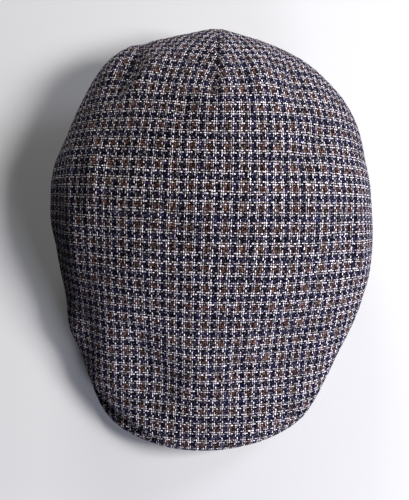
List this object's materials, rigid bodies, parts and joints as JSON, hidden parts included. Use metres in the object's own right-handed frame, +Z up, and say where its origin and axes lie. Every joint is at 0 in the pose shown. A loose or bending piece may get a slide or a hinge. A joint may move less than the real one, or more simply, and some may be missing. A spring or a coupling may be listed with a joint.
{
  "type": "flat cap",
  "caption": "Soft flat cap in small check cloth with a full hollow crown, a short arched peak and a band inside the rim.",
  "frame": {"origin": "middle of the cap's bounding box, on the surface that it rests on", "axes": "+Z up, -Y towards the peak, +X towards the wearer's left"},
  "size_m": [0.2042, 0.2694, 0.0919],
  "materials": {
    "check_cloth": "soft brushed wool in a small navy, brown and light grey check, matt",
    "band_cloth": "plain dark navy cotton twill, matt"
  },
  "bodies": {
    "root": {"crown": "check_cloth", "peak": "check_cloth", "sweatband": "band_cloth"}
  },
  "joints": []
}
